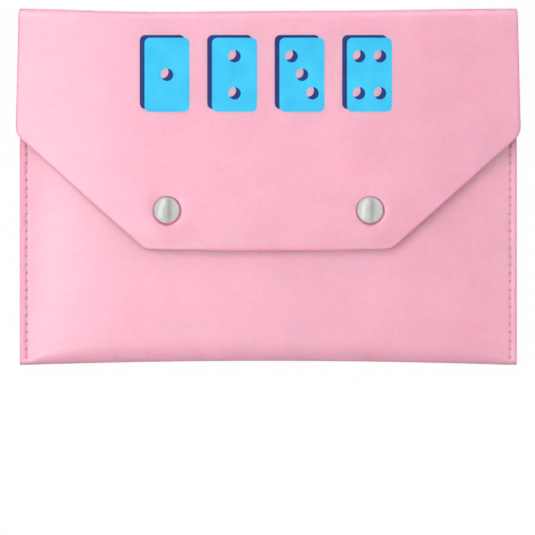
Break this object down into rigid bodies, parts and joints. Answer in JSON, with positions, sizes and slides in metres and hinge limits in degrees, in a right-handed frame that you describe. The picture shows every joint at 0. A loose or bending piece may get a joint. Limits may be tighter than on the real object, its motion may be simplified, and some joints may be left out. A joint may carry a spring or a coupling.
{
  "type": "mahjong card holder",
  "caption": "Soft envelope pouch for score cards: a folded sheet sewn up its sides, with a slanted flap held by ring snaps.",
  "frame": {"origin": "under the middle of the outline, on the back face that the pouch rests on", "axes": "+Z out of the front, +Y towards the flap's fold, +X along the fold to the right as seen from the front"},
  "size_m": [0.2026, 0.143, 0.0141],
  "materials": {
    "shell_sheet": "satin pink coated sheet with a very fine grain",
    "lining_sheet": "thin tonal lining",
    "seam_thread": "tonal polyester sewing thread",
    "snap_nickel": "polished nickel",
    "spring_steel": "bright drawn wire",
    "print_blue": "sky blue printed film",
    "print_navy": "navy printed film"
  },
  "bodies": {
    "pouch": {"pouch_shell": "shell_sheet", "pouch_lining": "lining_sheet", "left_seam_needle_thread": "seam_thread", "left_seam_bobbin_thread": "seam_thread", "right_seam_needle_thread": "seam_thread", "right_seam_bobbin_thread": "seam_thread", "left_snap_stud": "snap_nickel", "left_snap_post": "snap_nickel", "right_snap_stud": "snap_nickel", "right_snap_post": "snap_nickel"},
    "fold": {"flap_fold_shell": "shell_sheet", "flap_fold_lining": "lining_sheet"},
    "flap": {"flap_shell": "shell_sheet", "flap_lining": "lining_sheet", "printed_tiles": "print_blue", "printed_tile_shades": "print_navy", "left_snap_cap": "snap_nickel", "left_snap_rivet": "snap_nickel", "left_snap_socket": "snap_nickel", "left_snap_spring": "spring_steel", "right_snap_cap": "snap_nickel", "right_snap_rivet": "snap_nickel", "right_snap_socket": "snap_nickel", "right_snap_spring": "spring_steel"}
  },
  "joints": [
    {"name": "flap_fold_back", "type": "hinge", "parent": "pouch", "child": "fold", "pos_m": [0, 0.06958, 0.00192], "axis": [-1, 0, 0], "range_deg": [0, 88], "deforming": ["flap_fold_shell", "flap_fold_lining"]},
    {"name": "flap_fold_front", "type": "hinge", "parent": "fold", "child": "flap", "pos_m": [0, 0.06958, 0.01048], "axis": [-1, 0, 0], "range_deg": [0, 88], "deforming": ["left_snap_spring", "right_snap_spring"]}
  ],
  "couplings": [
    {"joint": "flap_fold_front", "follows": "flap_fold_back", "ratio": 1}
  ]
}
